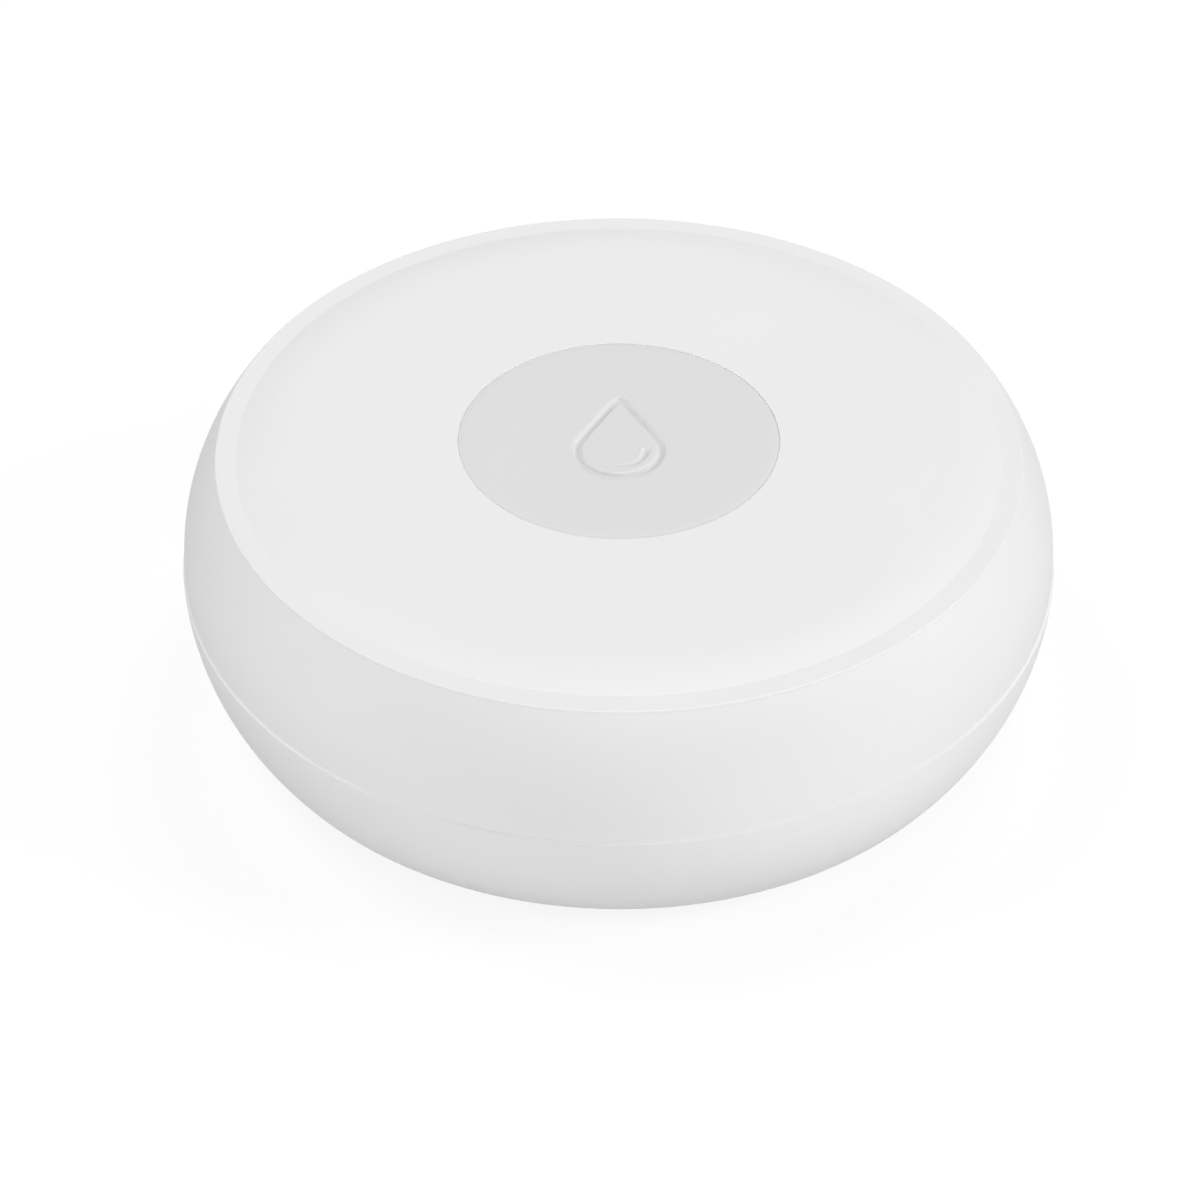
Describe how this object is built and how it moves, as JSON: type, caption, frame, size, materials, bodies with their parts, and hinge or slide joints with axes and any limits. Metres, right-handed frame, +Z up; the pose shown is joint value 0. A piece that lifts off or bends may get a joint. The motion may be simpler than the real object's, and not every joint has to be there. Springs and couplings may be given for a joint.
{
  "type": "water leak sensor",
  "caption": "Round battery-powered water leak sensor: a bulged white puck with a low-crowned top, a flush grey push button with an engraved drop, and probe pins and a twist-off battery door below.",
  "frame": {"origin": "middle of the plane that the feet stand on", "axes": "+Z up through the middle of the puck, front of the drop sign towards -Y, probes on the X axis"},
  "size_m": [0.05, 0.05, 0.0155],
  "materials": {
    "white_plastic": "fine matte moulding texture",
    "grey_plastic": "fine matte moulding texture",
    "seal_rubber": "smooth",
    "foot_rubber": "matt",
    "screw_steel": "plain",
    "probe_steel": "turned",
    "cell_steel": "satin",
    "contact_metal": "sheet",
    "board": "solder mask",
    "black_plastic": "matt",
    "lamp": "smooth",
    "passive": "matt"
  },
  "bodies": {
    "housing": {"top_cover": "white_plastic", "upper_shell": "white_plastic", "lower_shell": "white_plastic", "housing_seal": "seal_rubber", "housing_screws": "screw_steel", "feet": "foot_rubber", "button_diaphragm": "seal_rubber", "circuit_board": "board", "board_screws": "screw_steel", "switch_body": "black_plastic", "switch_cover": "screw_steel", "switch_dome": "contact_metal", "status_led": "lamp", "radio_chip": "black_plastic", "sense_chip": "black_plastic", "crystal": "screw_steel", "antenna": "lamp", "passives": "passive", "coin_cell": "cell_steel", "positive_clip": "contact_metal", "negative_contact": "contact_metal", "probe_pins": "probe_steel", "probe_seals": "seal_rubber", "probe_washers": "screw_steel", "probe_contacts": "contact_metal"},
    "button": {"button_cap": "grey_plastic"},
    "plunger": {"switch_plunger": "black_plastic"},
    "door": {"battery_door": "white_plastic", "door_seal": "seal_rubber"}
  },
  "joints": [
    {"name": "button_press", "type": "slide", "parent": "housing", "child": "button", "axis": [0, 0, -1], "range_m": [0, 0.0004], "stiffness_N_per_m": 4500, "deforming": ["button_diaphragm"]},
    {"name": "plunger_press", "type": "slide", "parent": "housing", "child": "plunger", "axis": [0, 0, -1], "range_m": [0, 0.0004], "stiffness_N_per_m": 0.02, "springref_m": -0.013, "deforming": ["switch_dome"]},
    {"name": "door_twist", "type": "hinge", "parent": "housing", "child": "door", "pos_m": [0, 0, 0], "axis": [0, 0, -1], "range_deg": [0, 35]}
  ],
  "couplings": [
    {"joint": "plunger_press", "follows": "button_press", "ratio": 1}
  ]
}
